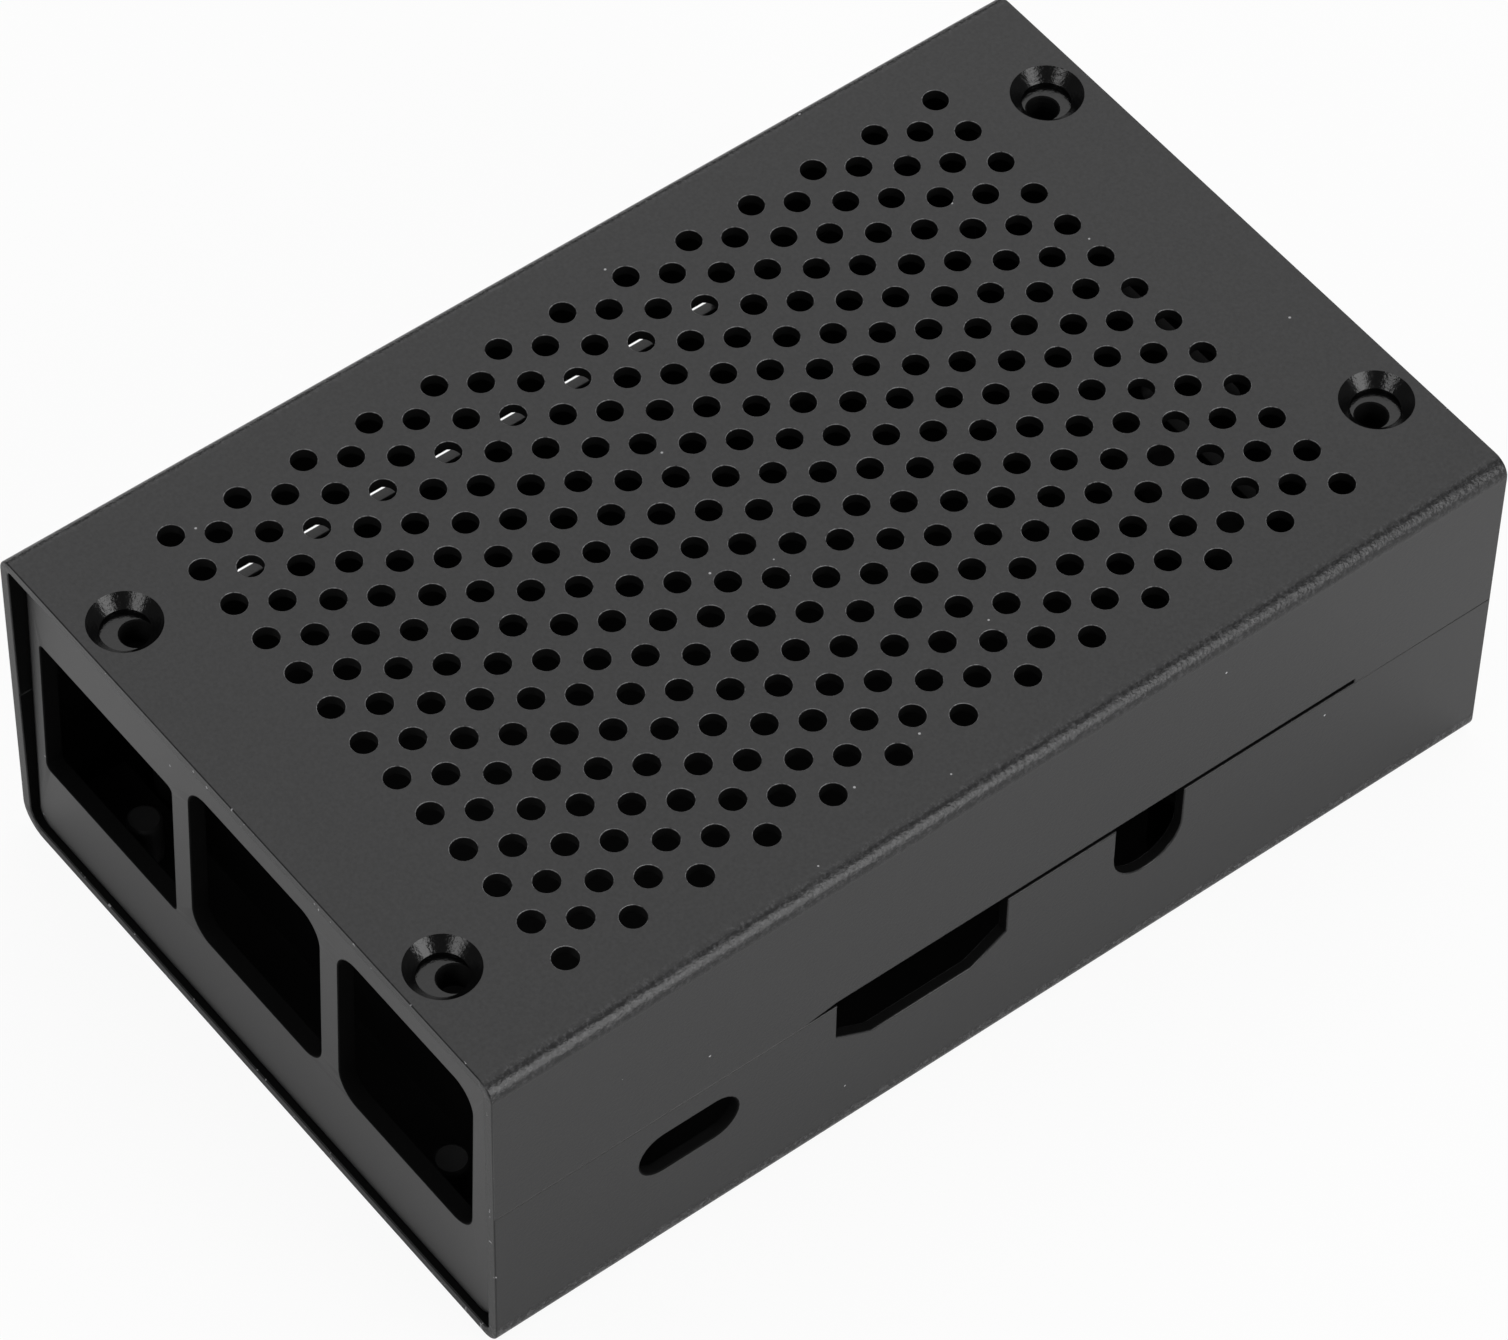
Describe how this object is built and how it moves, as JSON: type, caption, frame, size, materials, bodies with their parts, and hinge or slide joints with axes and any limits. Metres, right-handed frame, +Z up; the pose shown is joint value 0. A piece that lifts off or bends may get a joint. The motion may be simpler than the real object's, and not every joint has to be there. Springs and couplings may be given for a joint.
{
  "type": "single-board computer case",
  "caption": "Flat box of bent black sheet metal for a credit-card-sized computer board, with a perforated top, port windows in one end and port cut-outs in one side.",
  "frame": {"origin": "centre of the case's footprint, on the plane it stands on", "axes": "+X along the length, away from the end with the three windows; +Y across, away from the wall with the port cut-outs; +Z up, out of the perforated top"},
  "size_m": [0.0942, 0.0606, 0.032],
  "materials": {
    "anodised_shell": "bead-blasted, black anodised, matte",
    "anodised_plate": "black anodised, satin",
    "support_alloy": "turned, black anodised with the shell",
    "screw_steel": "black oxide"
  },
  "bodies": {
    "root": {"upper_shell": "anodised_shell", "lower_shell": "anodised_shell", "port_end_plate": "anodised_plate", "card_end_plate": "anodised_plate", "board_support_1": "support_alloy", "board_support_2": "support_alloy", "board_support_3": "support_alloy", "board_support_4": "support_alloy", "case_screws": "screw_steel"}
  },
  "joints": []
}
